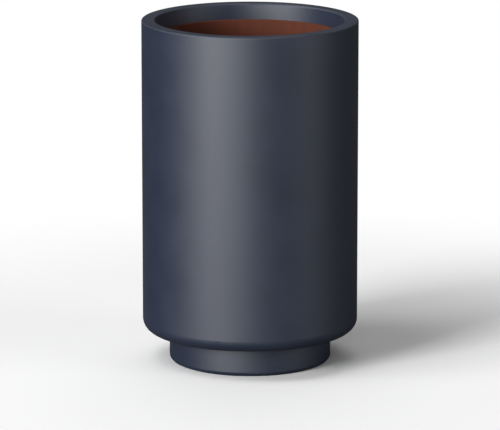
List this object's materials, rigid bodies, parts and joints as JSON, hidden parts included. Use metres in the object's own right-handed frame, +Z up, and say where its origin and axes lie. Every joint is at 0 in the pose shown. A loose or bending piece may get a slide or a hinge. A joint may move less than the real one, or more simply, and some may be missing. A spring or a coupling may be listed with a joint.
{
  "type": "floor planter",
  "caption": "Tall round floor planter with straight sides, a rounded shoulder, a recessed foot, a liner that lifts out and a drain plug.",
  "frame": {"origin": "on the floor, at the centre of the foot", "axes": "+Z up along the planter's axis of symmetry; -Y towards the viewer of the picture, +X to the right"},
  "size_m": [0.381, 0.381, 0.61],
  "materials": {
    "coated_concrete": "cast concrete with a smooth satin slate-blue coating",
    "liner_plastic": "moulded polypropylene, matte brown",
    "plug_rubber": "moulded black rubber"
  },
  "bodies": {
    "shell": {"planter_shell": "coated_concrete"},
    "liner": {"liner": "liner_plastic"},
    "drain_plug": {"drain_plug": "plug_rubber"}
  },
  "joints": [
    {"name": "liner_lift", "type": "slide", "parent": "shell", "child": "liner", "axis": [0, 0, 1], "range_m": [0, 0.56]},
    {"name": "plug_pull", "type": "slide", "parent": "shell", "child": "drain_plug", "axis": [0, 0, 1], "range_m": [0, 0.028]}
  ]
}
